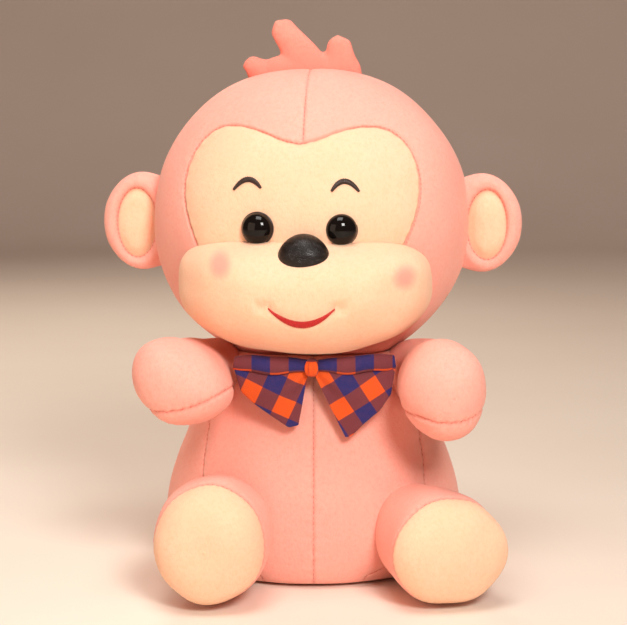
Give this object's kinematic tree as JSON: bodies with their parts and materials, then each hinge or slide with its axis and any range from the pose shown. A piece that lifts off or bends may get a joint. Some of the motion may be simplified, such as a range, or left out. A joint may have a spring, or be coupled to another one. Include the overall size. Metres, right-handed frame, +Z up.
{
  "type": "stuffed monkey",
  "caption": "Plush monkey sitting with its legs forward: heart-shaped cream face, muzzle pillow, round ears, hair tuft and a checked bow tie.",
  "frame": {"origin": "on the table under the middle of the body, on the flat underside it sits on", "axes": "+Z up, the face and legs point towards -Y, +X is the toy's own left"},
  "size_m": [0.2142, 0.218, 0.2816],
  "materials": {
    "pink_plush": "short soft pile",
    "cream_plush": "short soft pile",
    "deep_pink_plush": "short soft pile",
    "filling": "matte",
    "eye_plastic": "high gloss",
    "nose_plastic": "fine leather grain, satin",
    "washer_plastic": "matte",
    "dark_thread": "satin stitch",
    "red_thread": "satin stitch",
    "check_cloth": "woven check"
  },
  "bodies": {
    "torso": {"torso_front_left": "pink_plush", "torso_front_right": "pink_plush", "torso_back_left": "pink_plush", "torso_back_right": "pink_plush", "torso_base": "pink_plush", "torso_stuffing": "filling", "bow_wing_left": "check_cloth", "bow_wing_right": "check_cloth", "bow_knot": "check_cloth"},
    "neck": {"neck_filling": "filling"},
    "head": {"head_cover_left": "pink_plush", "head_cover_right": "pink_plush", "face_panel": "cream_plush", "head_stuffing": "filling", "muzzle_cover": "cream_plush", "muzzle_stuffing": "filling", "left_eye": "eye_plastic", "left_eye_washer": "washer_plastic", "right_eye": "eye_plastic", "right_eye_washer": "washer_plastic", "nose": "nose_plastic", "nose_washer": "washer_plastic", "left_eyebrow": "dark_thread", "right_eyebrow": "dark_thread", "mouth_embroidery": "red_thread"},
    "left_ear": {"left_ear_back": "pink_plush", "left_ear_rim": "pink_plush", "left_ear_inner": "cream_plush", "left_ear_filling": "filling"},
    "right_ear": {"right_ear_back": "pink_plush", "right_ear_rim": "pink_plush", "right_ear_inner": "cream_plush", "right_ear_filling": "filling"},
    "tuft": {"tuft_front": "deep_pink_plush", "tuft_back": "deep_pink_plush", "tuft_filling": "filling"},
    "left_arm": {"left_arm_upper": "pink_plush", "left_arm_lower": "pink_plush", "left_arm_stuffing": "filling"},
    "right_arm": {"right_arm_upper": "pink_plush", "right_arm_lower": "pink_plush", "right_arm_stuffing": "filling"},
    "left_leg": {"left_leg_cover": "pink_plush", "left_sole": "cream_plush", "left_leg_stuffing": "filling"},
    "right_leg": {"right_leg_cover": "pink_plush", "right_sole": "cream_plush", "right_leg_stuffing": "filling"},
    "tail": {"tail_cover": "pink_plush", "tail_stuffing": "filling"}
  },
  "joints": [
    {"name": "head_turn", "type": "hinge", "parent": "torso", "child": "neck", "pos_m": [0, 0, 0.106], "axis": [0, 0, 1], "range_deg": [-5, 4.5], "stiffness_Nm_per_rad": 0.6},
    {"name": "head_nod", "type": "hinge", "parent": "neck", "child": "head", "pos_m": [0, 0, 0.106], "axis": [0.9976, -0.0698, 0], "range_deg": [-8, 1.5], "stiffness_Nm_per_rad": 0.9},
    {"name": "left_ear_fold", "type": "hinge", "parent": "head", "child": "left_ear", "pos_m": [0.07681, -0.00537, 0.179], "axis": [0, 0, 1], "range_deg": [-10, 10], "stiffness_Nm_per_rad": 0.05},
    {"name": "right_ear_fold", "type": "hinge", "parent": "head", "child": "right_ear", "pos_m": [-0.07881, 0.00551, 0.179], "axis": [0, 0, 1], "range_deg": [-10, 10], "stiffness_Nm_per_rad": 0.05},
    {"name": "tuft_flex", "type": "hinge", "parent": "head", "child": "tuft", "pos_m": [-0.00385, 0.00227, 0.252], "axis": [0.9976, -0.0698, 0], "range_deg": [-9, 9], "stiffness_Nm_per_rad": 0.05},
    {"name": "left_arm_spread", "type": "hinge", "parent": "torso", "child": "left_arm", "pos_m": [0.052, -0.036, 0.103], "axis": [0, 0, 1], "range_deg": [-3, 20], "stiffness_Nm_per_rad": 0.15},
    {"name": "right_arm_spread", "type": "hinge", "parent": "torso", "child": "right_arm", "pos_m": [-0.052, -0.036, 0.104], "axis": [0, 0, -1], "range_deg": [-3, 20], "stiffness_Nm_per_rad": 0.15},
    {"name": "left_leg_lift", "type": "hinge", "parent": "torso", "child": "left_leg", "pos_m": [0.046, -0.062, 0.0275], "axis": [-0.9397, -0.342, 0], "range_deg": [0, 18], "stiffness_Nm_per_rad": 0.2},
    {"name": "right_leg_lift", "type": "hinge", "parent": "torso", "child": "right_leg", "pos_m": [-0.046, -0.062, 0.0275], "axis": [-0.9986, 0.0523, 0], "range_deg": [0, 18], "stiffness_Nm_per_rad": 0.2},
    {"name": "tail_swing", "type": "hinge", "parent": "torso", "child": "tail", "pos_m": [0, 0.064, 0.026], "axis": [0, 0, 1], "range_deg": [-35, 35], "stiffness_Nm_per_rad": 0.03}
  ]
}
